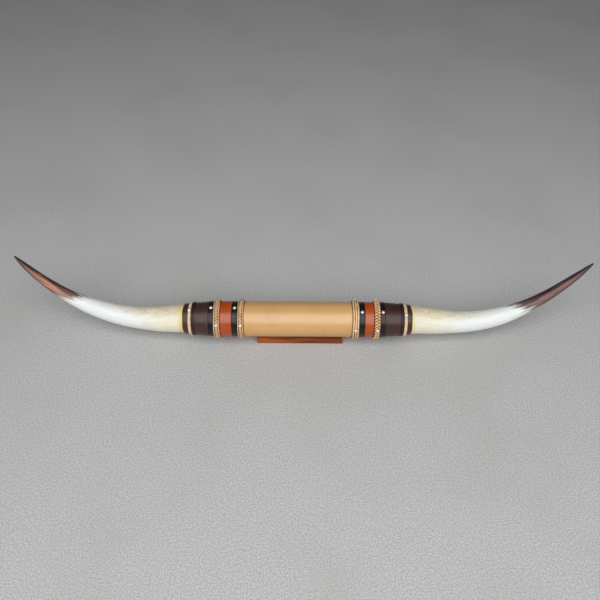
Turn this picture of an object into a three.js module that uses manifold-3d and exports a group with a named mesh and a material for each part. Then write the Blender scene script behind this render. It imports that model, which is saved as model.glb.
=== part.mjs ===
// Horn mount: two long cattle horns joined by a leather-bound wooden roll on a wooden wall board.
// Millimetres. +X runs along the roll to the right, +Y up the wall, +Z out from the board's back face.

import * as THREE from "three";
import { mergeVertices } from "three/addons/utils/BufferGeometryUtils.js";
import Module from "manifold-3d";

const wasm = await Module();
wasm.setup();

// Clearances and facets
const gap = 0.3;
const roundSides = 36;
const plaitSides = 66;
const hornSides = 24;
const hornRings = 26;
const tackSides = 10;
const mergeTolerance = 1e-4;
const quarterTurn = Math.PI / 2;

// Wall board
const boardLength = 272;
const boardWidth = 84;
const boardThickness = 19;
const boardShift = 6.5;
const boardEdgeRound = 6;
const boardEdgeSteps = 3;
const scoopDepth = 2.5;

// Roll of leather over the wooden core, and how far from the roll's middle each band ends on each side
const rollRadius = 55.5;
const bandLeather = 2.4;
const bandEdgeRound = 1;
const bandEnds = {
  left: {
    tan: 167,
    innerBraid: 185.5,
    innerBlack: 204,
    orange: 240.5,
    outerBraid: 260,
    outerBlack: 275.5,
    cuff: 357,
  },
  right: {
    tan: 169,
    innerBraid: 190,
    innerBlack: 207.5,
    orange: 236,
    outerBraid: 255.5,
    outerBlack: 270.5,
    cuff: 355,
  },
};

// Plaited rings
const braidRadius = 61.8;
const braidShoulder = 1;
const braidHumpShare = 0.26;
const braidFlankShare = 0.12;
const braidFlankDrop = 1;
const braidValley = 2.6;
const braidDip = 1.3;
const braidZigzag = 1.2;

// Cuff, its strap and its cord
const cuffLeather = 2;
const cuffStartRadius = 54.3;
const cuffEndRadius = 47.4;
const strapStart = 319;
const strapEnd = 329;
const strapRise = 1.8;
const cordEnd = 339;
const cordRise = 4.5;
const cordSteps = 6;

// Horns
const coreEnd = 300;
const hornLean = THREE.MathUtils.degToRad(50);
const hornTipRadius = 3.2;
const hornPaths = {
  left: { tipOut: 896, tipUp: 193, rootPull: 94, tipPull: 330, tipTurn: 42.6 },
  right: { tipOut: 933, tipUp: 181.5, rootPull: 147, tipPull: 380, tipTurn: 38.5 },
};
const hornGirths = [
  [0, 90.2],
  [0.12, 81.5],
  [0.24, 70],
  [0.45, 56.5],
  [0.62, 42],
  [0.82, 28.8],
  [0.95, 15.6],
  [1, 2 * hornTipRadius],
];

// Domed tacks, evenly spaced round each ring and turned from the top of the roll toward the foot of the wall
const tacksPerRing = { band: 2, braid: 3, cord: 2 };
const tackRadius = 5.5;
const tackRise = 3.8;
const tackSteps = 3;
const tackTurns = {
  left: { band: 1.6, braid: 59, cord: 9.7 },
  right: { band: 15, braid: 73, cord: 22.8 },
};

const axisHeight = boardThickness - scoopDepth + gap + rollRadius;

// Materials
function material(color, roughness, metalness = 0) {
  return new THREE.MeshStandardMaterial({ color, roughness, metalness });
}

const looks = {
  board: () => material(0x7a4a28, 0.5),
  core: () => material(0xb08a5c, 0.8),
  tan: () => material(0xd9a56b, 0.45),
  black: () => material(0x1e1b1a, 0.4),
  orange: () => material(0xb4501c, 0.4),
  brown: () => material(0x49342b, 0.45),
  braid: () => material(0xd2a079, 0.55),
  cord: () => material(0xdbbaa2, 0.55),
  horn: () => material(0xeee8d6, 0.35),
  tack: () => material(0xd8d2c0, 0.25, 1),
};

// Solid helpers
function welded(geometry) {
  const bare = geometry.clone();
  bare.deleteAttribute("normal");
  bare.deleteAttribute("uv");
  const merged = mergeVertices(bare, mergeTolerance);
  const kept = [];
  const index = merged.index.array;
  for (let i = 0; i < index.length; i += 3) {
    const [a, b, c] = [index[i], index[i + 1], index[i + 2]];
    if (a !== b && b !== c && c !== a) {
      kept.push(a, b, c);
    }
  }
  merged.setIndex(kept);
  return merged;
}

function toManifold(geometry) {
  const solid = welded(geometry);
  const vertProperties = new Float32Array(solid.attributes.position.array);
  const triVerts = new Uint32Array(solid.index.array);
  return new wasm.Manifold(new wasm.Mesh({ numProp: 3, vertProperties, triVerts }));
}

function fromManifold(manifold) {
  const mesh = manifold.getMesh();
  const geometry = new THREE.BufferGeometry();
  geometry.setAttribute("position", new THREE.BufferAttribute(new Float32Array(mesh.vertProperties), 3));
  geometry.setIndex(Array.from(mesh.triVerts));
  return geometry;
}

const group = new THREE.Group();
group.name = "horn_mount";

function addPart(name, geometry, look) {
  const solid = welded(geometry);
  solid.computeVertexNormals();
  const mesh = new THREE.Mesh(solid, look());
  mesh.name = name;
  group.add(mesh);
}

// Lays a shape turned about Y along the roll, running outward on its own side
function laidOnRoll(geometry, side) {
  geometry.rotateZ(-quarterTurn);
  if (side < 0) {
    geometry.rotateZ(Math.PI);
    geometry.rotateX(Math.PI);
  }
  geometry.translate(0, 0, axisHeight);
  return geometry;
}

// Turns a profile of [radius, distance along the roll] pairs about the roll's axis
function turned(profile, side = 1, turnDegrees = 0) {
  const points = profile.map(([radius, along]) => new THREE.Vector2(radius, along));
  const start = THREE.MathUtils.degToRad(turnDegrees);
  return laidOnRoll(new THREE.LatheGeometry(points, roundSides, side * start), side);
}

// Sleeve between two distances, its outer edges softened by two short chamfers
function sleeve(start, end, inner, outer) {
  const profile = [
    [inner(start), start],
    [outer(start) - bandEdgeRound, start],
    [outer(start + bandEdgeRound), start + bandEdgeRound],
    [outer(end - bandEdgeRound), end - bandEdgeRound],
    [outer(end) - bandEdgeRound, end],
    [inner(end), end],
  ];
  return [...profile, profile[0]];
}

const rollOuter = () => rollRadius;
const rollInner = () => rollRadius - bandLeather;

// Radius of a side's tapered cuff at a distance along the roll
function cuffOuter(ends, along) {
  const share = (along - ends.outerBlack) / (ends.cuff - ends.outerBlack);
  return THREE.MathUtils.lerp(cuffStartRadius, cuffEndRadius, share);
}

const cuffInner = (ends, along) => cuffOuter(ends, along) - cuffLeather;

// Section of a plaited ring: two humps that rise in turn, with a zigzag valley between them
function plaitProfile(start, end, firstHigh) {
  const width = end - start;
  const shoulder = rollRadius + braidShoulder;
  const firstTop = braidRadius - (firstHigh ? 0 : braidDip);
  const secondTop = braidRadius - (firstHigh ? braidDip : 0);
  const valleyShift = firstHigh ? braidZigzag : -braidZigzag;
  const profile = [
    [rollInner(), start],
    [shoulder, start],
    [firstTop - braidFlankDrop, start + braidFlankShare * width],
    [firstTop, start + braidHumpShare * width],
    [braidRadius - braidValley, start + width / 2 + valleyShift],
    [secondTop, end - braidHumpShare * width],
    [secondTop - braidFlankDrop, end - braidFlankShare * width],
    [shoulder, end],
    [rollInner(), end],
  ];
  return [...profile, profile[0]];
}

function plaitRing(start, end, side, turnDegrees) {
  const sections = [plaitProfile(start, end, true), plaitProfile(start, end, false)];
  const points = sections[0].map(([radius, along]) => new THREE.Vector2(radius, along));
  const geometry = new THREE.LatheGeometry(points, plaitSides);
  const position = geometry.attributes.position;
  for (let i = 0; i <= plaitSides; i += 1) {
    const swing = side * THREE.MathUtils.degToRad(turnDegrees) + (2 * Math.PI * i) / plaitSides;
    sections[i % 2].forEach(([radius, along], j) => {
      position.setXYZ(i * points.length + j, radius * Math.sin(swing), along, radius * Math.cos(swing));
    });
  }
  return laidOnRoll(geometry, side);
}

// Half-round cord lying on the cuff
function cordProfile(ends, start, end) {
  const middle = (start + end) / 2;
  const half = (end - start) / 2;
  const profile = [];
  for (let i = 0; i <= cordSteps; i += 1) {
    const swing = Math.PI * (1 - i / cordSteps);
    const along = middle + half * Math.cos(swing);
    profile.push([cuffOuter(ends, along) + gap + cordRise * Math.sin(swing), along]);
  }
  return [...profile, profile[0]];
}

// Wall board with rounded front edges and a shallow scoop that beds the roll
function boardSolid() {
  const half = boardWidth / 2;
  const flat = half - boardEdgeRound;
  const roundStart = boardThickness - boardEdgeRound;
  const section = new THREE.Shape();
  section.moveTo(-half, 0);
  section.lineTo(half, 0);
  section.lineTo(half, roundStart);
  section.absarc(flat, roundStart, boardEdgeRound, 0, quarterTurn, false);
  section.lineTo(-flat, boardThickness);
  section.absarc(-flat, roundStart, boardEdgeRound, quarterTurn, Math.PI, false);
  const board = new THREE.ExtrudeGeometry(section, {
    depth: boardLength,
    bevelEnabled: false,
    curveSegments: boardEdgeSteps,
  });
  board.rotateX(quarterTurn);
  board.rotateZ(quarterTurn);
  board.translate(boardShift - boardLength / 2, 0, 0);
  const scoopRadius = rollRadius + gap;
  const scoop = turned([
    [0, -boardLength],
    [scoopRadius, -boardLength],
    [scoopRadius, boardLength],
    [0, boardLength],
  ]);
  return fromManifold(toManifold(board).subtract(toManifold(scoop)));
}

// Wooden core under the leather, stepped and tapered at each end to fit inside the cuffs
function coreProfile() {
  const body = rollInner() - gap;
  const cuffFit = (ends, along) => cuffInner(ends, along) - gap;
  const { left, right } = bandEnds;
  return [
    [0, -coreEnd],
    [cuffFit(left, coreEnd), -coreEnd],
    [cuffFit(left, left.outerBlack), -left.outerBlack],
    [body, -left.outerBlack],
    [body, right.outerBlack],
    [cuffFit(right, right.outerBlack), right.outerBlack],
    [cuffFit(right, coreEnd), coreEnd],
    [0, coreEnd],
  ];
}

// Horn: a girth profile bent along a straight root and one sweeping curve
function hornSolid(ends, side, { tipOut, tipUp, rootPull, tipPull, tipTurn }) {
  const out = new THREE.Vector3(side, 0, 0);
  const up = new THREE.Vector3(0, Math.sin(hornLean), Math.cos(hornLean));
  const facing = new THREE.Vector3(0, -Math.cos(hornLean), Math.sin(hornLean));
  const at = (along, rise) => {
    const point = new THREE.Vector3(0, 0, axisHeight);
    return point.addScaledVector(out, along).addScaledVector(up, rise);
  };
  const turn = THREE.MathUtils.degToRad(tipTurn);
  const mouth = at(ends.cuff, 0);
  const rootHandle = at(ends.cuff + rootPull, 0);
  const tipHandle = at(tipOut - tipPull * Math.cos(turn), tipUp - tipPull * Math.sin(turn));
  const sweep = new THREE.CubicBezierCurve3(mouth, rootHandle, tipHandle, at(tipOut, tipUp));
  const root = new THREE.LineCurve3(at(coreEnd + gap, 0), mouth);
  const path = new THREE.CurvePath();
  path.add(root);
  path.add(sweep);
  const rootLength = root.getLength();
  const sweepLength = sweep.getLength();
  const pathLength = rootLength + sweepLength;

  const girthPoints = hornGirths.map(([share, width]) => new THREE.Vector2(share, width / 2));
  const girth = new THREE.SplineCurve(girthPoints);
  const bodyLength = sweepLength - hornTipRadius;
  const rootRadius = cuffInner(ends, coreEnd) - gap;
  const profile = [new THREE.Vector2(0, 0), new THREE.Vector2(rootRadius, 0)];
  for (let i = 0; i <= hornRings; i += 1) {
    const point = girth.getPoint(i / hornRings);
    profile.push(new THREE.Vector2(point.y, rootLength + point.x * bodyLength));
  }
  const tipReach = hornTipRadius * (1 - Math.sin(quarterTurn / 2));
  profile.push(new THREE.Vector2(hornTipRadius * Math.cos(quarterTurn / 2), pathLength - tipReach));
  profile.push(new THREE.Vector2(0, pathLength));

  const geometry = new THREE.LatheGeometry(profile, hornSides);
  const position = geometry.attributes.position;
  for (let i = 0; i < position.count; i += 1) {
    const share = THREE.MathUtils.clamp(position.getY(i) / pathLength, 0, 1);
    const centre = path.getPoint(share);
    const tangent = path.getTangent(share);
    const across = facing.clone().cross(tangent);
    centre.addScaledVector(facing, position.getX(i)).addScaledVector(across, position.getZ(i));
    position.setXYZ(i, centre.x, centre.y, centre.z);
  }
  return geometry;
}

// Domed tack standing on the roll at one distance, radius and turn
function tackSolid(along, radius, turnDegrees) {
  const profile = [new THREE.Vector2(0, 0)];
  for (let i = 0; i < tackSteps; i += 1) {
    const swing = (quarterTurn * i) / tackSteps;
    profile.push(new THREE.Vector2(tackRadius * Math.cos(swing), tackRise * Math.sin(swing)));
  }
  profile.push(new THREE.Vector2(0, tackRise));
  const geometry = new THREE.LatheGeometry(profile, tackSides);
  geometry.rotateX(quarterTurn);
  geometry.translate(0, 0, radius + gap);
  geometry.rotateX(THREE.MathUtils.degToRad(turnDegrees));
  geometry.translate(along, 0, axisHeight);
  return geometry;
}

function addTackRing(name, along, radius, turnDegrees, count) {
  for (let i = 0; i < count; i += 1) {
    const turn = turnDegrees + (i * 360) / count;
    addPart(`${name}_${i + 1}`, tackSolid(along, radius, turn), looks.tack);
  }
}

// Assembly
addPart("back_board", boardSolid(), looks.board);
addPart("core_log", turned(coreProfile()), looks.core);
addPart("tan_wrap", turned(sleeve(-bandEnds.left.tan, bandEnds.right.tan, rollInner, rollOuter)), looks.tan);

for (const [name, side] of [["left", -1], ["right", 1]]) {
  const ends = bandEnds[name];
  const turns = tackTurns[name];
  const band = (start, end) => turned(sleeve(start + gap, end, rollInner, rollOuter), side, turns.band);
  const plait = (start, end) => plaitRing(start + gap, end, side, turns.braid);
  const middle = (start, end) => (side * (start + gap + end)) / 2;

  addPart(`braid_inner_${name}`, plait(ends.tan, ends.innerBraid), looks.braid);
  addPart(`black_band_inner_${name}`, band(ends.innerBraid, ends.innerBlack), looks.black);
  addPart(`orange_band_${name}`, band(ends.innerBlack, ends.orange), looks.orange);
  addPart(`braid_outer_${name}`, plait(ends.orange, ends.outerBraid), looks.braid);
  addPart(`black_band_outer_${name}`, band(ends.outerBraid, ends.outerBlack), looks.black);

  const onCuff = (rise) => (along) => cuffOuter(ends, along) + rise;
  const cuff = sleeve(ends.outerBlack + gap, ends.cuff, onCuff(-cuffLeather), onCuff(0));
  addPart(`brown_cuff_${name}`, turned(cuff, side), looks.brown);
  const strap = sleeve(strapStart, strapEnd, onCuff(gap), onCuff(gap + strapRise));
  addPart(`cuff_strap_${name}`, turned(strap, side), looks.brown);
  const cord = cordProfile(ends, strapEnd + gap, cordEnd);
  addPart(`cuff_cord_${name}`, turned(cord, side, turns.cord), looks.cord);

  addPart(`horn_${name}`, hornSolid(ends, side, hornPaths[name]), looks.horn);

  const tackRing = (place, kind, along, radius) => {
    addTackRing(`tack_${place}_${name}`, along, radius, turns[kind], tacksPerRing[kind]);
  };
  const cordMiddle = (strapEnd + gap + cordEnd) / 2;
  tackRing("black_inner", "band", middle(ends.innerBraid, ends.innerBlack), rollRadius);
  tackRing("black_outer", "band", middle(ends.outerBraid, ends.outerBlack), rollRadius);
  tackRing("braid_inner", "braid", middle(ends.tan, ends.innerBraid), braidRadius);
  tackRing("braid_outer", "braid", middle(ends.orange, ends.outerBraid), braidRadius);
  tackRing("cord", "cord", side * cordMiddle, onCuff(gap + cordRise)(cordMiddle));
}

export default group;
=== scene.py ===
import math

import bmesh
import bpy
from mathutils import Matrix, Vector


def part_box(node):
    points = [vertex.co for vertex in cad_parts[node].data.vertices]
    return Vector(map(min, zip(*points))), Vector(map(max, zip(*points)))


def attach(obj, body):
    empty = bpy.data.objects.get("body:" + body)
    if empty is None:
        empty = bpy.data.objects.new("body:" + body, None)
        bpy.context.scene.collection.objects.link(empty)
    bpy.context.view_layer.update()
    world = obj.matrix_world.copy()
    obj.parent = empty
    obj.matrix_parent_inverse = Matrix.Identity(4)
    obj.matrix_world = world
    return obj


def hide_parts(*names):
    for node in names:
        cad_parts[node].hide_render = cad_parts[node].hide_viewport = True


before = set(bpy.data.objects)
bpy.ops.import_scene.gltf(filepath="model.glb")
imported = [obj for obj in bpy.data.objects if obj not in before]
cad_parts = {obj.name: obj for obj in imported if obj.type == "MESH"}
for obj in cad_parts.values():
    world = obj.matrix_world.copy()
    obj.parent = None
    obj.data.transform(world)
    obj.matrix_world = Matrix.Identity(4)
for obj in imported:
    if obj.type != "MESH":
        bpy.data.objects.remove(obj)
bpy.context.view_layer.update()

# Sizes in metres
MM = 0.001
GAP = 0.3 * MM
WELD = 0.001 * MM
SPIN_STEPS = 144
BAND_LEATHER = 2.4 * MM
BAND_ROUND = 1.1 * MM
BAND_TRIM = 0.7 * MM
TRIM_REACH = 10 * MM

# The roll's own sizes, read from the frame
roll_low, roll_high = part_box("tan_wrap")
ROLL_RADIUS = (roll_high.z - roll_low.z) / 2
AXIS = Vector((0, 0, (roll_high.z + roll_low.z) / 2))

# Cuffs with their straps and cords
CUFF_LEATHER = 2.0 * MM
CUFF_START_RADIUS = 54.3 * MM
CUFF_END_RADIUS = 47.4 * MM
CUFF_ROUND = 1.2 * MM
CUFF_TRIM = 2.2 * MM
STRAP_RISE = 1.8 * MM
STRAP_ROUND = 0.9 * MM
CORD_RISE = 4.5 * MM
CORD_ROUND = 3.6 * MM

# Laced rings: a broad plait, a fine plait between two plain laces, or plain laces side by side
PLAIT_LACES = 3
PLAIT_POINTS = 12
LACE_THICKNESS = 4.2 * MM
BROAD_PERIODS = 13
BROAD_LACE = 5.0 * MM
FINE_PERIODS = 13
FINE_LACE = 3.8 * MM
FINE_SHARE = 0.54
PLAIN_WAVES = 4
PLAIN_SWING = 0.4 * MM

# Tacks
TACK_RADIUS = 5.5 * MM
TACK_RISE = 3.8 * MM
TACK_SIDES = 24
TACK_RINGS = 14
TACK_METAL = 0.6

# Board
BOARD_ROUND = 6 * MM
BOARD_SHINE = 0.35

# Horns: where each tip lies from the roll's middle, and how the curve leaves the cuff and reaches the tip
HORN_SIDES = 32
HORN_RINGS = 44
HORN_SWEEP_STEPS = 400
HORN_ROOT_SHARES = (0.0, 0.5, 0.9)
HORN_LEAN = math.radians(50)
HORN_TIP_RADIUS = 3.2 * MM
HORN_FREE_START = 0.012
CORE_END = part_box("core_log")[1].x
HORN_PATHS = {
    "left": {
        "tip_out": 0.896,
        "tip_up": 0.193,
        "root_pull": 0.094,
        "tip_pull": 0.330,
        "tip_turn": math.radians(42.6),
    },
    "right": {
        "tip_out": 0.933,
        "tip_up": 0.1815,
        "root_pull": 0.147,
        "tip_pull": 0.380,
        "tip_turn": math.radians(38.5),
    },
}

# Horn widths, each at a share of the length from the cuff
HORN_GIRTHS = (
    (0.0, 90.2 * MM),
    (0.12, 81.5 * MM),
    (0.24, 70.0 * MM),
    (0.45, 56.5 * MM),
    (0.62, 42.0 * MM),
    (0.82, 28.8 * MM),
    (0.95, 15.6 * MM),
    (1.0, 2 * HORN_TIP_RADIUS),
)

# Rough upper side of the horns: how far round it reaches, and where it fades along the horn
BARK_UPPER = (-0.3, 0.6)
BARK_FADE = (0.14, 0.30)

# Uneven surfaces: the size of their waves and how deep they are
BAND_WAVES = (50 * MM, 0.5 * MM)
CUFF_WAVES = (35 * MM, 0.5 * MM)
CORD_WAVES = (20 * MM, 0.5 * MM)
HORN_SWELLS = (60 * MM, 1.4 * MM)
HORN_LUMPS = (18 * MM, 3.2 * MM)
HORN_PITS = (8 * MM, 1.2 * MM)

# Camera, set from where the roll's middle lies in the picture
PICTURE = 600
LENS = 36.1
SENSOR = 36.0
CAMERA_DISTANCE = 1.9
CAMERA_LIFT = math.radians(50)
CAMERA_ROLL = math.radians(0.36)
ROLL_MIDDLE_PIXEL = (297.7, 319.05)

# Pale bloom along the edges of the horns
HORN_BLOOM = 0.25
HORN_BLOOM_SPREAD = 0.4

# Floor and soft light from behind the camera
FLOOR_SIZE = 14
LAMP_DISTANCE = 2.8
LAMP_LIFT = math.radians(54.5)
LAMP_SIZE = (6.0, 3.3)
LAMP_POWER = 138
LAMP_COLOR = (0.95, 0.98, 1.0)
SKY_NEAR = 0.14
SKY_FAR = 0.08
SKY_FADE = 0.7
SKY_COLOR = (0.94, 0.97, 1.0, 1)


def deselect():
    if bpy.context.object and bpy.context.object.mode != "OBJECT":
        bpy.ops.object.mode_set(mode="OBJECT")
    bpy.ops.object.select_all(action="DESELECT")


def pick(piece):
    deselect()
    piece.select_set(True)
    bpy.context.view_layer.objects.active = piece


def edit(piece):
    pick(piece)
    bpy.ops.object.mode_set(mode="EDIT")
    return bmesh.from_edit_mesh(piece.data)


def select_verts(mesh, test):
    bpy.ops.mesh.select_mode(type="VERT")
    bpy.ops.mesh.select_all(action="DESELECT")
    for vert in mesh.verts:
        vert.select_set(test(vert.co))
    mesh.select_flush_mode()


def close_and_face_out(piece):
    pick(piece)
    bpy.ops.object.mode_set(mode="EDIT")
    bpy.ops.mesh.select_all(action="SELECT")
    bpy.ops.mesh.remove_doubles(threshold=WELD)
    bpy.ops.mesh.normals_make_consistent(inside=False)
    bpy.ops.object.mode_set(mode="OBJECT")


def settle(piece):
    """Puts the piece's place into its mesh, so that its object sits at the origin."""
    pick(piece)
    bpy.ops.object.transform_apply(location=True, rotation=True, scale=True)


def waver(piece, waves, group=""):
    """Uneven surface of a hand-made or grown piece."""
    size, depth = waves
    pick(piece)
    cloud = bpy.data.textures.new(piece.name + "_waver", type="CLOUDS")
    cloud.noise_scale = size
    cloud.noise_depth = 2
    bpy.ops.object.modifier_add(type="DISPLACE")
    bump = piece.modifiers[-1]
    bump.texture = cloud
    bump.texture_coords = "LOCAL"
    bump.strength = depth
    bump.mid_level = 0.5
    bump.vertex_group = group
    bpy.ops.object.modifier_apply(modifier=bump.name)


def smooth(piece, angle=40):
    pick(piece)
    bpy.ops.object.shade_smooth_by_angle(angle=math.radians(angle))


def ease(value, low, high):
    """Rises smoothly from 0 at low to 1 at high."""
    share = max(0.0, min(1.0, (value - low) / (high - low)))
    return share * share * (3 - 2 * share)


def hand_over(piece, slot, material, *nodes):
    piece.data.materials.clear()
    piece.data.materials.append(material)
    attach(piece, "root")
    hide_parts(*nodes)


def srgb(red, green, blue):
    """Linear colour of a colour given on the 0 to 255 scale."""

    def linear(value):
        share = value / 255
        return share / 12.92 if share <= 0.04045 else ((share + 0.055) / 1.055) ** 2.4

    return (linear(red), linear(green), linear(blue))


# Colours, given on the 0 to 255 scale
# Each leather's shade colour gives its random darker patches and also its painted shade in creases and along
# edges
TAN = srgb(218, 167, 106)
TAN_SHADE = srgb(194, 139, 82)
BLACK = srgb(18, 14, 12)
BLACK_SHADE = srgb(10, 8, 7)
ORANGE = srgb(180, 72, 8)
ORANGE_SHADE = srgb(152, 50, 4)
BROWN = srgb(67, 41, 34)
BROWN_SHADE = srgb(51, 29, 23)
# The strap's brown is darker than the cuff's: partly its own colour, partly painted shade beside the cord
STRAP_BROWN = srgb(52, 30, 22)
STRAP_SHADE = srgb(36, 20, 15)
# The last lace colour and the last cord colour are painted shade where the laces dip low
LACE = srgb(242, 202, 156)
LACE_SHADE = srgb(222, 174, 124)
LACE_DIP_SHADE = srgb(158, 96, 54)
CORD = srgb(232, 202, 170)
CORD_SHADE = srgb(212, 176, 140)
CORD_DIP_SHADE = srgb(150, 108, 74)
BOARD = srgb(166, 89, 38)
BOARD_DARK = srgb(126, 60, 20)
BOARD_GRAIN = srgb(88, 40, 12)
CORE_WOOD = srgb(140, 100, 62)
CORE_GRAIN = srgb(100, 68, 40)
TACK = srgb(248, 242, 230)
TACK_DULL = srgb(225, 212, 185)
HORN_CREAM = srgb(242, 234, 213)
HORN_CREAM_FIBRE = srgb(232, 220, 192)
HORN_WHITE = srgb(242, 243, 240)
HORN_WHITE_FIBRE = srgb(234, 234, 228)
HORN_BARK = srgb(204, 186, 148)
HORN_BARK_PALE = srgb(234, 219, 184)
HORN_RING = srgb(234, 210, 138)
HORN_DULL = srgb(112, 84, 80)
HORN_PINK = srgb(236, 214, 208)
HORN_END = srgb(56, 42, 43)
FLOOR_DARK = srgb(166, 164, 162)
FLOOR_PALE = srgb(206, 204, 202)
FLOOR_WORN = srgb(172, 168, 162)

# Each horn's dark tip and the ring at its cuff: distances from the cuff, shares and colours
# The heart colours are partly each tip's own brown and partly a painted highlight; the edge colours are dark
# brown and also painted shade along the tip's sides
HORN_LOOKS = {
    "left": {
        "dark_start": 0.352,
        "dark_slant": 0.029,
        "dark_end": 0.51,
        "ring_width": 14 * MM,
        "ring_share": 0.9,
        "heart_and_highlight": srgb(210, 146, 116),
        "edge": srgb(54, 33, 28),
        "pale_share": 0.65,
    },
    "right": {
        "dark_start": 0.35,
        "dark_slant": 0.031,
        "dark_end": 0.56,
        "ring_width": 9 * MM,
        "ring_share": 0.65,
        "heart_and_highlight": srgb(140, 100, 92),
        "edge": srgb(44, 28, 26),
        "pale_share": 0.25,
    },
}


# Materials
class Finish:
    """One material and the few node moves that all the finishes share."""

    def __init__(self, name, roughness, metallic=0.0):
        self.material = bpy.data.materials.new(name)
        self.material.use_nodes = True
        self.tree = self.material.node_tree
        self.shader = self.tree.nodes["Principled BSDF"]
        self.shader.inputs["Roughness"].default_value = roughness
        self.shader.inputs["Metallic"].default_value = metallic

    def node(self, kind, **settings):
        node = self.tree.nodes.new(kind)
        for key, value in settings.items():
            setattr(node, key, value)
        return node

    def feed(self, socket, value):
        if isinstance(value, tuple):
            socket.default_value = (*value, 1)
        elif isinstance(value, (int, float)):
            socket.default_value = value
        else:
            self.tree.links.new(value, socket)

    def scaled(self, vector, scale):
        mapping = self.node("ShaderNodeMapping")
        mapping.inputs["Scale"].default_value = scale
        self.feed(mapping.inputs["Vector"], vector)
        return mapping.outputs["Vector"]

    def place(self, scale=(1, 1, 1)):
        return self.scaled(self.node("ShaderNodeTexCoord").outputs["Object"], scale)

    def own(self, name, output="Fac"):
        return self.node("ShaderNodeAttribute", attribute_name=name).outputs[output]

    def noise(self, vector, scale, detail=4.0):
        noise = self.node("ShaderNodeTexNoise")
        self.feed(noise.inputs["Scale"], scale)
        self.feed(noise.inputs["Detail"], detail)
        self.feed(noise.inputs["Vector"], vector)
        return noise.outputs["Fac"]

    def math(self, operation, first, second):
        node = self.node("ShaderNodeMath", operation=operation)
        self.feed(node.inputs[0], first)
        self.feed(node.inputs[1], second)
        return node.outputs[0]

    def times(self, first, second):
        return self.math("MULTIPLY", first, second)

    def plus(self, first, second):
        return self.math("ADD", first, second)

    def spread(self, value, low, high, to_low=0.0, to_high=1.0):
        node = self.node("ShaderNodeMapRange", interpolation_type="SMOOTHSTEP")
        for socket, setting in zip(node.inputs, (value, low, high, to_low, to_high)):
            self.feed(socket, setting)
        return node.outputs["Result"]

    def mix(self, share, first, second):
        node = self.node("ShaderNodeMix", data_type="RGBA")
        self.feed(node.inputs["Factor"], share)
        self.feed(node.inputs[6], first)
        self.feed(node.inputs[7], second)
        return node.outputs[2]

    def color(self, value):
        self.feed(self.shader.inputs["Base Color"], value)

    def roughness(self, value):
        self.feed(self.shader.inputs["Roughness"], value)

    def bump(self, height, strength, distance):
        node = self.node("ShaderNodeBump")
        self.feed(node.inputs["Strength"], strength)
        self.feed(node.inputs["Distance"], distance)
        self.feed(node.inputs["Height"], height)
        self.feed(self.shader.inputs["Normal"], node.outputs["Normal"])


def leather(name, body, shade, roughness, shine, mottle):
    """Smooth dyed leather, a little darker in random patches, with painted shade in its creases and along its
    edges where it meets the next piece.
    """
    finish = Finish(name, roughness)
    finish.shader.inputs["Specular IOR Level"].default_value = shine
    place = finish.place()
    patch = finish.spread(finish.noise(place, 11, 4), 0.4, 0.75)
    creases = finish.noise(finish.place((1.0, 0.4, 0.4)), 150, 3)
    tone = finish.mix(finish.times(patch, mottle), body, shade)
    # Painted shade in the creases: the shade colour is laid where the crease noise runs deep
    tone = finish.mix(finish.times(finish.spread(creases, 0.55, 0.8), mottle), tone, shade)
    # Painted shade along the edges, fading over the last 2.2 mm, where the pieces meet
    rim = finish.spread(finish.own("rim"), 0.0, 2.2 * MM, 0.75, 0.0)
    finish.color(finish.mix(rim, tone, shade))
    worn = finish.noise(place, 45, 3)
    finish.roughness(finish.spread(worn, 0.3, 0.7, roughness - 0.04, roughness + 0.05))
    grain = finish.noise(place, 800, 2)
    finish.bump(finish.plus(grain, finish.times(creases, 1.5)), 0.18, 0.2 * MM)
    return finish.material


def lace_leather(name, body, shade, dip_shade, low, high):
    """Pale lace with painted shade where it dips toward the roll."""
    finish = Finish(name, 0.4)
    place = finish.place()
    tone = finish.mix(finish.spread(finish.noise(place, 70, 4), 0.4, 0.7), body, shade)
    # Painted shade: the lower the lace lies, the more of the dip colour it takes
    depth = finish.spread(finish.own("lift"), low, high, 1.0, 0.0)
    finish.color(finish.mix(depth, tone, dip_shade))
    finish.bump(finish.noise(place, 700, 3), 0.2, 0.3 * MM)
    return finish.material


def board_wood():
    finish = Finish("stained_board_wood", 0.42)
    finish.shader.inputs["Specular IOR Level"].default_value = BOARD_SHINE
    grain = finish.noise(finish.place((6, 110, 110)), 1.0, 5)
    figure = finish.noise(finish.place((3, 26, 26)), 1.0, 3)
    tone = finish.mix(finish.spread(figure, 0.4, 0.6), BOARD, BOARD_DARK)
    tone = finish.mix(finish.spread(grain, 0.48, 0.66), tone, BOARD_GRAIN)
    finish.color(tone)
    finish.roughness(finish.spread(grain, 0.3, 0.8, 0.38, 0.55))
    finish.bump(grain, 0.3, 0.4 * MM)
    return finish.material


def bare_wood():
    finish = Finish("bare_core_wood", 0.75)
    grain = finish.noise(finish.place((4, 70, 70)), 1.0, 5)
    finish.color(finish.mix(grain, CORE_WOOD, CORE_GRAIN))
    finish.bump(grain, 0.3, 0.4 * MM)
    return finish.material


def tack_plate():
    finish = Finish("pale_tack_plate", 0.2, TACK_METAL)
    dull = finish.noise(finish.place(), 260, 3)
    finish.color(finish.mix(finish.spread(dull, 0.4, 0.8), TACK, TACK_DULL))
    finish.roughness(finish.spread(dull, 0.3, 0.8, 0.26, 0.36))
    return finish.material


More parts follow.
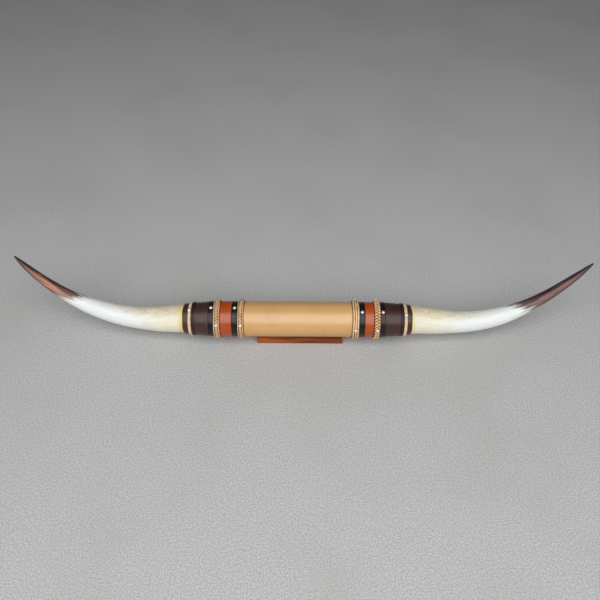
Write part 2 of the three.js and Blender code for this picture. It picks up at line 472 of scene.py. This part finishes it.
def polished_horn(name, dark_start, dark_slant, dark_end, ring_width, ring_share, heart_and_highlight, edge, pale_share):
    """Cream horn, rough and beige above near the cuff, turning white and then dark and streaky at the tip,
    where a painted highlight runs along its middle and painted shade along its upper and lower sides.
    Its straight coordinates give the distance from the cuff and the two offsets from its middle."""
    finish = Finish(name, 0.4)
    finish.shader.inputs["Sheen Weight"].default_value = HORN_BLOOM
    finish.shader.inputs["Sheen Roughness"].default_value = HORN_BLOOM_SPREAD
    straight = finish.own("straight", "Vector")
    along = finish.node("ShaderNodeSeparateXYZ")
    finish.feed(along.inputs[0], straight)
    along = along.outputs["X"]
    crown = finish.own("crown")
    fibre = finish.noise(finish.scaled(straight, (12, 240, 240)), 1.0, 5)
    lump = finish.noise(finish.scaled(straight, (110, 150, 150)), 1.0, 4)
    cloud = finish.noise(finish.scaled(straight, (18, 26, 26)), 1.0, 3)

    cream = finish.mix(finish.spread(fibre, 0.35, 0.7), HORN_CREAM, HORN_CREAM_FIBRE)
    white = finish.mix(finish.spread(fibre, 0.35, 0.75), HORN_WHITE, HORN_WHITE_FIBRE)
    tone = finish.mix(finish.spread(finish.plus(along, finish.times(cloud, 0.08)), 0.07, 0.22), cream, white)

    reach = finish.plus(crown, finish.times(finish.plus(cloud, -0.5), 0.9))
    bark = finish.times(finish.spread(reach, -0.1, 0.75), finish.spread(along, 0.10, 0.30, 1.0, 0.0))
    hide = finish.mix(finish.spread(lump, 0.3, 0.65), HORN_BARK, HORN_BARK_PALE)
    tone = finish.mix(finish.times(bark, 0.8), tone, hide)

    ring_end = finish.plus(along, finish.times(finish.plus(cloud, -0.5), 0.012))
    ring = finish.spread(ring_end, 0.4 * ring_width, 1.2 * ring_width, ring_share, 0.0)
    tone = finish.mix(ring, tone, HORN_RING)

    fray = finish.times(finish.plus(fibre, -0.5), 0.13)
    reach = finish.plus(finish.plus(along, finish.times(crown, dark_slant)), fray)
    dark = finish.spread(reach, dark_start - 0.014, dark_start + 0.026)
    streaks = finish.spread(fibre, 0.4, 0.68, 0.0, 0.5)
    # The tip's heart colour is partly its own brown and partly a painted highlight along its middle
    blend = finish.mix(streaks, heart_and_highlight, edge)
    # Painted shade: the dark edge colour is laid along the upper and lower sides of the tip
    upper = finish.spread(finish.plus(crown, finish.times(finish.plus(fibre, -0.5), 0.9)), 0.0, 0.9)
    lower = finish.spread(crown, -0.8, -0.35, 0.92, 0.0)
    blend = finish.mix(finish.math("MAXIMUM", upper, lower), blend, edge)
    dull = finish.spread(reach, dark_start + 0.01, dark_start + 0.09, 0.75, 0.0)
    blend = finish.mix(dull, blend, HORN_DULL)
    pale = finish.times(finish.spread(reach, dark_start, dark_start + 0.05, 1.0, 0.0),
                        finish.spread(crown, -0.5, 0.25, 1.0, 0.0))
    blend = finish.mix(finish.times(pale, pale_share), blend, HORN_PINK)
    end = finish.spread(along, dark_end - 0.06, dark_end + 0.06, 0.0, 0.9)
    blend = finish.mix(end, blend, HORN_END)
    finish.color(finish.mix(dark, tone, blend))
    finish.roughness(finish.spread(dark, 0.0, 1.0, 0.42, 0.3))
    height = finish.plus(fibre, finish.times(finish.times(lump, bark), 2.5))
    finish.bump(height, 0.22, 0.5 * MM)
    return finish.material


# Leather sleeves
def spun_sleeve(name, start, end, inner, outer, round_off, cuts):
    """A leather section of four corners, its two outer corners rounded, spun about the roll's axis."""
    deselect()
    bpy.ops.mesh.primitive_plane_add(size=1.0)
    piece = bpy.context.object
    piece.name = name
    mesh = edit(piece)
    for vert in mesh.verts:
        along = start if vert.co.x < 0 else end
        radius = inner(along) if vert.co.y < 0 else outer(along)
        vert.co = AXIS + Vector((along, 0, radius))
    middle = (start + end) / 2
    rise = (inner(middle) + outer(middle)) / 2
    lean = (outer(end) - outer(start)) / (end - start)
    select_verts(mesh, lambda co: co.z - AXIS.z > rise + lean * (co.x - middle))
    bpy.ops.mesh.bevel(offset=round_off, segments=4, affect="VERTICES")
    bpy.ops.mesh.delete(type="ONLY_FACE")
    mesh = bmesh.from_edit_mesh(piece.data)
    long_edge = max((end - start) - 3 * round_off, 0)
    bpy.ops.mesh.select_all(action="DESELECT")
    for line in mesh.edges:
        if abs(line.verts[0].co.x - line.verts[1].co.x) > long_edge:
            line.select_set(True)
    bpy.ops.mesh.subdivide(number_cuts=cuts)
    bpy.ops.mesh.select_all(action="SELECT")
    bpy.ops.mesh.spin(steps=SPIN_STEPS, angle=2 * math.pi, center=AXIS, axis=(1, 0, 0))
    close_and_face_out(piece)
    return piece


def trim_edges(piece, start, end, start_trim, end_trim):
    """Cuts the sleeve's two edges a little unevenly, and stores each point's distance from the nearer one."""
    reach = min(TRIM_REACH, (end - start) / 2)
    phase = 40 * (start + end)
    piece.data.attributes.new("rim", "FLOAT", "POINT")
    rim = piece.data.attributes["rim"]
    for number, vert in enumerate(piece.data.vertices):
        rim.data[number].value = min(vert.co.x - start, end - vert.co.x)
        turn = math.atan2(vert.co.y, vert.co.z - AXIS.z)
        pull = 0.5 + 0.3 * math.sin(2 * turn + phase) + 0.2 * math.sin(5 * turn + 3 * phase)
        from_start = max(0.0, 1 - (vert.co.x - start) / reach)
        from_end = max(0.0, 1 - (end - vert.co.x) / reach)
        vert.co.x += pull * (start_trim * from_start - end_trim * from_end)


def roll_outer(along):
    return ROLL_RADIUS


def roll_inner(along):
    return ROLL_RADIUS - BAND_LEATHER


def span(node):
    low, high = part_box(node)
    return low.x, high.x


def leather_band(node, slot, material, cuts):
    start, end = span(node)
    band = spun_sleeve(node + "_leather", start, end, roll_inner, roll_outer, BAND_ROUND, cuts)
    trim_edges(band, start, end, BAND_TRIM, BAND_TRIM)
    waver(band, BAND_WAVES)
    smooth(band)
    hand_over(band, slot, material, node)


def cuff_outer(side_name):
    """The cuff's outer radius by distance, as a function."""
    start, end = span("brown_cuff_" + side_name)
    wide, narrow = (end, start) if side_name == "left" else (start, end)

    def outer(along):
        share = (along - wide) / (narrow - wide)
        return CUFF_START_RADIUS + share * (CUFF_END_RADIUS - CUFF_START_RADIUS)

    return outer


def raised(line, rise):
    """A radius line lifted by some height."""
    return lambda along: line(along) + rise


def brown_cuff(side_name, material, strap_material):
    outer = cuff_outer(side_name)
    node = "brown_cuff_" + side_name
    start, end = span(node)
    inner = raised(outer, -CUFF_LEATHER)
    cuff = spun_sleeve(node + "_leather", start, end, inner, outer, CUFF_ROUND, cuts=16)
    mouth_trims = (CUFF_TRIM, BAND_TRIM) if side_name == "left" else (BAND_TRIM, CUFF_TRIM)
    trim_edges(cuff, start, end, *mouth_trims)
    waver(cuff, CUFF_WAVES)
    smooth(cuff)
    hand_over(cuff, "brown_leather", material, node)
    node = "cuff_strap_" + side_name
    start, end = span(node)
    strap = spun_sleeve(node + "_leather", start, end, raised(outer, GAP), raised(outer, GAP + STRAP_RISE),
                        STRAP_ROUND, cuts=4)
    trim_edges(strap, start, end, BAND_TRIM, BAND_TRIM)
    smooth(strap)
    hand_over(strap, "brown_leather", strap_material, node)


def store_lift(piece, floor):
    """Stores how far each point stands out from a given radius line."""
    piece.data.attributes.new("lift", "FLOAT", "POINT")
    lift = piece.data.attributes["lift"]
    for number, vert in enumerate(piece.data.vertices):
        lift.data[number].value = math.hypot(vert.co.y, vert.co.z - AXIS.z) - floor(vert.co.x)


def cuff_cord(side_name, material):
    outer = cuff_outer(side_name)
    node = "cuff_cord_" + side_name
    start, end = span(node)
    cord = spun_sleeve(node + "_lace", start, end, raised(outer, GAP), raised(outer, GAP + CORD_RISE),
                       CORD_ROUND, cuts=4)
    waver(cord, CORD_WAVES)
    store_lift(cord, outer)
    smooth(cord, angle=60)
    hand_over(cord, "cord_leather", material, node)


# Laced rings
def lace_section(width, thickness):
    deselect()
    bpy.ops.curve.primitive_bezier_circle_add(radius=1.0)
    section = bpy.context.object
    section.name = "lace_section"
    section.scale = (thickness / 2, width / 2, 1)
    bpy.ops.object.transform_apply(scale=True)
    section.data.resolution_u = 4
    return section


def laid_lace(name, section, radius_at, place_at, points):
    """One lace round the roll; its radius and its place along the roll are functions of the turn."""
    curve = bpy.data.curves.new(name, "CURVE")
    curve.dimensions = "3D"
    curve.twist_mode = "Z_UP"
    curve.bevel_mode = "OBJECT"
    curve.bevel_object = section
    curve.resolution_u = 2
    line = curve.splines.new("NURBS")
    line.points.add(points - 1)
    for number, point in enumerate(line.points):
        turn = 2 * math.pi * number / points
        radius = radius_at(turn)
        point.co = (radius * math.cos(turn), radius * math.sin(turn), place_at(turn), 1)
    line.order_u = 4
    line.use_cyclic_u = True
    lace = bpy.data.objects.new(name, curve)
    bpy.context.scene.collection.objects.link(lace)
    pick(lace)
    bpy.ops.object.convert(target="MESH")
    return bpy.context.object


def plaited(low, high, width, lace_width, periods):
    """Three laces that wave from edge to edge, over and under each other."""
    section = lace_section(lace_width, LACE_THICKNESS)
    swing = (width - lace_width) / 2
    lift = (high - low - LACE_THICKNESS) / 2
    laces = []
    for number in range(PLAIT_LACES):
        phase = 2 * math.pi * number / PLAIT_LACES

        def radius_at(turn):
            return (low + high) / 2 + lift * math.sin(2 * (periods * turn + phase))

        def place_at(turn):
            return swing * math.sin(periods * turn + phase)

        laces.append(laid_lace("plait_lace", section, radius_at, place_at, periods * PLAIT_POINTS))
    bpy.data.objects.remove(section)
    return laces


def plain_laces(low, high, width, middles):
    """Plain laces side by side, each a little wavy."""
    section = lace_section(width, high - low)
    laces = []
    for middle in middles:

        def radius_at(turn):
            return (low + high) / 2

        def place_at(turn):
            return middle + PLAIN_SWING * math.sin(PLAIN_WAVES * turn + middle / MM)

        laces.append(laid_lace("plain_lace", section, radius_at, place_at, SPIN_STEPS))
    bpy.data.objects.remove(section)
    return laces


def broad_plait(low, high, width):
    return plaited(low, high, width, BROAD_LACE, BROAD_PERIODS)


def edged_plait(low, high, width):
    fine = FINE_SHARE * width
    edge = (width - fine) / 2
    middle = (fine + edge) / 2
    clear = edge - GAP - PLAIN_SWING
    edges = plain_laces(low, high, clear, (-middle, middle))
    return plaited(low, high, fine, FINE_LACE, FINE_PERIODS) + edges


def side_by_side(low, high, width):
    step = width / PLAIT_LACES
    return plain_laces(low, high, step - GAP - PLAIN_SWING, (-step, 0.0, step))


def laced_ring(node, laces_for, material):
    start, end = span(node)
    low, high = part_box(node)
    laces = laces_for(roll_inner(0), (high.z - low.z) / 2, end - start)
    deselect()
    for lace in laces:
        lace.select_set(True)
    bpy.context.view_layer.objects.active = laces[0]
    bpy.ops.object.join()
    piece = bpy.context.object
    piece.name = node + "_laces"
    turn = Matrix.Rotation(math.radians(90), 4, "Y")
    piece.data.transform(Matrix.Translation(AXIS + Vector(((start + end) / 2, 0, 0))) @ turn)
    close_and_face_out(piece)
    store_lift(piece, roll_outer)
    smooth(piece, angle=80)
    hand_over(piece, "braid_leather", material, node)


# Tacks
def tack_dome():
    deselect()
    bpy.ops.mesh.primitive_uv_sphere_add(segments=TACK_SIDES, ring_count=TACK_RINGS, radius=TACK_RADIUS)
    dome = bpy.context.object
    edit(dome)
    bpy.ops.mesh.select_all(action="SELECT")
    bpy.ops.mesh.bisect(plane_co=(0, 0, 0), plane_no=(0, 0, 1), clear_inner=True, use_fill=True)
    bpy.ops.mesh.select_all(action="SELECT")
    bpy.ops.transform.resize(value=(1, 1, TACK_RISE / TACK_RADIUS), center_override=(0, 0, 0))
    close_and_face_out(dome)
    smooth(dome, angle=50)
    return dome


def place_tacks(dome, material):
    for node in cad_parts:
        if not node.startswith("tack_"):
            continue
        points = [vert.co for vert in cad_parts[node].data.vertices]
        low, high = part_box(node)
        middle = (low + high) / 2
        outward = Vector((0, middle.y - AXIS.y, middle.z - AXIS.z)).normalized()
        foot = min((point - AXIS).dot(outward) for point in points)
        tack = dome.copy()
        tack.data = dome.data.copy()
        tack.name = node + "_dome"
        bpy.context.scene.collection.objects.link(tack)
        turn = Vector((0, 0, 1)).rotation_difference(outward).to_matrix().to_4x4()
        stand = AXIS + Vector((middle.x, 0, 0)) + outward * foot
        tack.data.transform(Matrix.Translation(stand) @ turn)
        hand_over(tack, "tack_metal", material, node)
    bpy.data.objects.remove(dome)


# Board
def back_board(material):
    low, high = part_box("back_board")
    size = high - low
    deselect()
    bpy.ops.mesh.primitive_cube_add(size=1.0, location=(low + high) / 2, scale=size)
    board = bpy.context.object
    board.name = "back_board_wood"
    settle(board)
    mesh = edit(board)
    select_verts(mesh, lambda co: co.z > high.z - MM)
    bpy.ops.mesh.select_mode(type="EDGE")
    bpy.ops.mesh.bevel(offset=BOARD_ROUND, segments=5, affect="EDGES")
    deselect()
    bpy.ops.mesh.primitive_cylinder_add(vertices=SPIN_STEPS, radius=ROLL_RADIUS + GAP, depth=2 * size.x,
                                        location=AXIS, rotation=(0, math.radians(90), 0))
    scoop = bpy.context.object
    pick(board)
    bpy.ops.object.modifier_add(type="BOOLEAN")
    cut = board.modifiers[-1]
    cut.operation = "DIFFERENCE"
    cut.object = scoop
    bpy.ops.object.modifier_apply(modifier=cut.name)
    bpy.data.objects.remove(scoop)
    smooth(board)
    hand_over(board, "board_wood", material, "back_board")


# Horns
def girth_at(share):
    """Horn width at a share of its length, on a smooth line through the measured widths."""
    for number in range(len(HORN_GIRTHS) - 1):
        if share <= HORN_GIRTHS[number + 1][0]:
            break
    near = HORN_GIRTHS[number]
    far = HORN_GIRTHS[number + 1]
    before = HORN_GIRTHS[max(number - 1, 0)]
    after = HORN_GIRTHS[min(number + 2, len(HORN_GIRTHS) - 1)]
    length = far[0] - near[0]
    step = (share - near[0]) / length
    rise_in = (far[1] - before[1]) / (far[0] - before[0]) * length
    rise_out = (after[1] - near[1]) / (after[0] - near[0]) * length
    cubic = step ** 3
    square = step ** 2
    return (
        (2 * cubic - 3 * square + 1) * near[1]
        + (cubic - 2 * square + step) * rise_in
        + (3 * square - 2 * cubic) * far[1]
        + (cubic - square) * rise_out
    )


def horn_line(side_name):
    """Stations along the horn: distance from the cuff, outward and upward place, and radius; then the tip."""
    path = HORN_PATHS[side_name]
    cuff_low, cuff_high = span("brown_cuff_" + side_name)
    cuff_end = max(-cuff_low, cuff_high)
    mouth = Vector((cuff_end, 0))
    root_handle = Vector((cuff_end + path["root_pull"], 0))
    tip = Vector((path["tip_out"], path["tip_up"]))
    tip_way = Vector((math.cos(path["tip_turn"]), math.sin(path["tip_turn"])))
    tip_handle = tip - path["tip_pull"] * tip_way
    sweep = []
    for number in range(HORN_SWEEP_STEPS + 1):
        gone = number / HORN_SWEEP_STEPS
        left = 1 - gone
        near_part = left ** 3 * mouth + 3 * left * left * gone * root_handle
        sweep.append(near_part + 3 * left * gone * gone * tip_handle + gone ** 3 * tip)
    lengths = [0.0]
    for near, far in zip(sweep, sweep[1:]):
        lengths.append(lengths[-1] + (far - near).length)
    total = lengths[-1]
    root = CORE_END + GAP
    side = -1 if side_name == "left" else 1
    root_radius = cuff_outer(side_name)(side * CORE_END) - CUFF_LEATHER - GAP
    stations = []
    for share in HORN_ROOT_SHARES:
        place = root + share * (cuff_end - root)
        radius = root_radius + share * (girth_at(0) / 2 - root_radius)
        stations.append((place - cuff_end, Vector((place, 0)), radius))
    body = total - HORN_TIP_RADIUS
    mark = 0
    for number in range(HORN_RINGS + 1):
        distance = body * number / HORN_RINGS
        while lengths[mark + 1] < distance:
            mark += 1
        share = (distance - lengths[mark]) / (lengths[mark + 1] - lengths[mark])
        stations.append((distance, sweep[mark].lerp(sweep[mark + 1], share), girth_at(distance / body) / 2))
    stations.append((total - 0.3 * HORN_TIP_RADIUS, sweep[-1].lerp(sweep[-3], 0.1), 0.7 * HORN_TIP_RADIUS))
    return stations, tip


def model_horn(side_name):
    """A ring drawn out along the horn, turned and narrowed at each station, and closed at both ends."""
    side = -1 if side_name == "left" else 1
    stations, tip = horn_line(side_name)

    def stand(place):
        return AXIS + Vector((side * place.x, 0, place.y))

    first = stations[0]
    deselect()
    bpy.ops.mesh.primitive_circle_add(vertices=HORN_SIDES, radius=first[2], fill_type="NOTHING",
                                      location=stand(first[1]), rotation=(0, math.radians(90), 0))
    horn = bpy.context.object
    horn.name = "horn_" + side_name + "_sheath"
    settle(horn)
    edit(horn)
    bpy.ops.mesh.select_all(action="SELECT")
    heading = 0.0
    for number in range(1, len(stations)):
        before = stations[number - 1]
        here = stations[number]
        after_place = stations[number + 1][1] if number + 1 < len(stations) else tip
        run = after_place - before[1]
        new_heading = math.atan2(run.y, run.x)
        centre = stand(here[1])
        bpy.ops.mesh.extrude_region_move(TRANSFORM_OT_translate={"value": centre - stand(before[1])})
        bpy.ops.transform.rotate(value=side * (new_heading - heading), orient_axis="Y",
                                 orient_type="GLOBAL", center_override=centre)
        scale = here[2] / before[2]
        bpy.ops.transform.resize(value=(scale, scale, scale), center_override=centre)
        heading = new_heading
    bpy.ops.mesh.extrude_region_move(TRANSFORM_OT_translate={"value": stand(tip) - stand(stations[-1][1])})
    bpy.ops.mesh.merge(type="CENTER")
    mesh = bmesh.from_edit_mesh(horn.data)
    mesh.verts.ensure_lookup_table()
    bpy.ops.mesh.select_all(action="DESELECT")
    for vert in mesh.verts[:HORN_SIDES]:
        vert.select_set(True)
    mesh.select_flush(True)
    bpy.ops.mesh.edge_face_add()
    close_and_face_out(horn)
    mark_horn(horn, stations, stand)
    return horn


def horn_places(horn, stations, stand):
    """Each point's place on the straightened horn, and how near it is to the upper side of the bend."""
    for number, vert in enumerate(horn.data.vertices):
        ring = min(number // HORN_SIDES, len(stations) - 1)
        distance, place, radius = stations[ring]
        offset = vert.co - stand(place)
        rise = math.copysign(math.hypot(offset.x, offset.z), offset.z)
        upper = max(-1.0, min(1.0, rise / radius))
        yield number, (distance, offset.y, rise), upper


def mark_horn(horn, stations, stand):
    """Stores where the horn is free of the cuff, where it is rough, and each point's straightened place."""
    places = list(horn_places(horn, stations, stand))
    free = horn.vertex_groups.new(name="free")
    bark = horn.vertex_groups.new(name="bark")
    for number, (distance, _, _), upper in places:
        out_of_cuff = ease(distance, 0.0, HORN_FREE_START)
        roughness = out_of_cuff * ease(upper, *BARK_UPPER) * (1 - ease(distance, *BARK_FADE))
        free.add([number], out_of_cuff, "REPLACE")
        bark.add([number], roughness, "REPLACE")
    horn.data.attributes.new("straight", "FLOAT_VECTOR", "POINT")
    horn.data.attributes.new("crown", "FLOAT", "POINT")
    straight = horn.data.attributes["straight"]
    crown = horn.data.attributes["crown"]
    for number, place, upper in places:
        straight.data[number].vector = place
        crown.data[number].value = upper


def finish_horn(horn, side_name, material):
    pick(horn)
    bpy.ops.object.modifier_add(type="SUBSURF")
    rounding = horn.modifiers[-1]
    rounding.levels = 2
    rounding.render_levels = 2
    bpy.ops.object.modifier_apply(modifier=rounding.name)
    waver(horn, HORN_SWELLS, "free")
    waver(horn, HORN_LUMPS, "bark")
    waver(horn, HORN_PITS, "bark")
    lean = Matrix.Rotation(-HORN_LEAN, 4, "X")
    horn.data.transform(Matrix.Translation(AXIS) @ lean @ Matrix.Translation(-AXIS))
    smooth(horn, angle=80)
    hand_over(horn, "horn", material, "horn_" + side_name)


# Stage, light and camera
def toward_camera(lift):
    return Vector((0, -math.cos(lift), math.sin(lift)))


def stage():
    deselect()
    bpy.ops.mesh.primitive_plane_add(size=FLOOR_SIZE)
    floor = bpy.context.object
    floor.name = "floor"
    finish = Finish("pale_floor", 0.9)
    speckle = finish.noise(finish.place(), 260, 3)
    cloud = finish.noise(finish.place(), 2.5, 4)
    tone = finish.mix(finish.spread(speckle, 0.3, 0.7), FLOOR_DARK, FLOOR_PALE)
    finish.color(finish.mix(finish.spread(cloud, 0.4, 0.7, 0.0, 0.3), tone, FLOOR_WORN))
    floor.data.materials.append(finish.material)


def light():
    world = bpy.data.worlds.new("soft_sky")
    bpy.context.scene.world = world
    world.use_nodes = True
    tree = world.node_tree
    sky = tree.nodes["Background"]
    sky.inputs["Color"].default_value = SKY_COLOR
    view = tree.nodes.new("ShaderNodeTexCoord")
    apart = tree.nodes.new("ShaderNodeSeparateXYZ")
    fade = tree.nodes.new("ShaderNodeMapRange")
    for socket, value in zip(fade.inputs[1:5], (-SKY_FADE, SKY_FADE, SKY_NEAR, SKY_FAR)):
        socket.default_value = value
    tree.links.new(view.outputs["Generated"], apart.inputs[0])
    tree.links.new(apart.outputs["Y"], fade.inputs["Value"])
    tree.links.new(fade.outputs["Result"], sky.inputs["Strength"])
    way = toward_camera(LAMP_LIFT)
    bpy.ops.object.light_add(type="AREA", location=AXIS + LAMP_DISTANCE * way)
    lamp = bpy.context.object
    lamp.rotation_euler = (-way).to_track_quat("-Z", "Y").to_euler()
    lamp.data.shape = "RECTANGLE"
    lamp.data.size, lamp.data.size_y = LAMP_SIZE
    lamp.data.energy = LAMP_POWER
    lamp.data.color = LAMP_COLOR


def camera():
    away = toward_camera(CAMERA_LIFT)
    level = Vector((1, 0, 0))
    up = away.cross(level)
    right = level * math.cos(CAMERA_ROLL) + up * math.sin(CAMERA_ROLL)
    top = away.cross(right)
    pixels = LENS / SENSOR * PICTURE
    aside = (ROLL_MIDDLE_PIXEL[0] - PICTURE / 2) / pixels * CAMERA_DISTANCE
    drop = (ROLL_MIDDLE_PIXEL[1] - PICTURE / 2) / pixels * CAMERA_DISTANCE
    eye = AXIS + away * CAMERA_DISTANCE - right * aside + top * drop
    data = bpy.data.cameras.new("camera")
    data.lens = LENS
    data.sensor_width = SENSOR
    view = bpy.data.objects.new("camera", data)
    bpy.context.scene.collection.objects.link(view)
    turn = Matrix((right, top, away)).transposed().to_4x4()
    view.matrix_world = Matrix.Translation(eye) @ turn
    bpy.context.scene.camera = view


camera()
light()
stage()
bpy.context.scene.view_settings.view_transform = "Standard"

tan = leather("tan_wrap_leather", TAN, TAN_SHADE, roughness=0.34, shine=1.0, mottle=0.35)
black = leather("black_band_leather", BLACK, BLACK_SHADE, roughness=0.31, shine=0.48, mottle=0.5)
orange = leather("orange_band_leather", ORANGE, ORANGE_SHADE, roughness=0.31, shine=0.78, mottle=0.5)
brown = leather("brown_cuff_leather", BROWN, BROWN_SHADE, roughness=0.36, shine=0.48, mottle=0.6)
dark_brown = leather("dark_strap_leather", STRAP_BROWN, STRAP_SHADE, roughness=0.42, shine=0.34, mottle=0.6)
lace = lace_leather("tan_plait_leather", LACE, LACE_SHADE, LACE_DIP_SHADE, low=2.4 * MM, high=5.6 * MM)
pale_lace = lace_leather("pale_cord_leather", CORD, CORD_SHADE, CORD_DIP_SHADE, low=0.8 * MM, high=2.8 * MM)

back_board(board_wood())
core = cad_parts["core_log"]
core.data.materials.clear()
core.data.materials.append(bare_wood())

leather_band("tan_wrap", "tan_leather", tan, cuts=40)
for side_name in ("left", "right"):
    leather_band("black_band_inner_" + side_name, "black_leather", black, cuts=6)
    leather_band("orange_band_" + side_name, "orange_leather", orange, cuts=8)
    leather_band("black_band_outer_" + side_name, "black_leather", black, cuts=6)
    brown_cuff(side_name, brown, dark_brown)
    cuff_cord(side_name, pale_lace)
    keratin = polished_horn(side_name + "_horn_keratin", **HORN_LOOKS[side_name])
    finish_horn(model_horn(side_name), side_name, keratin)
laced_ring("braid_inner_left", edged_plait, lace)
laced_ring("braid_outer_left", edged_plait, lace)
laced_ring("braid_inner_right", side_by_side, lace)
laced_ring("braid_outer_right", broad_plait, lace)
place_tacks(tack_dome(), tack_plate())
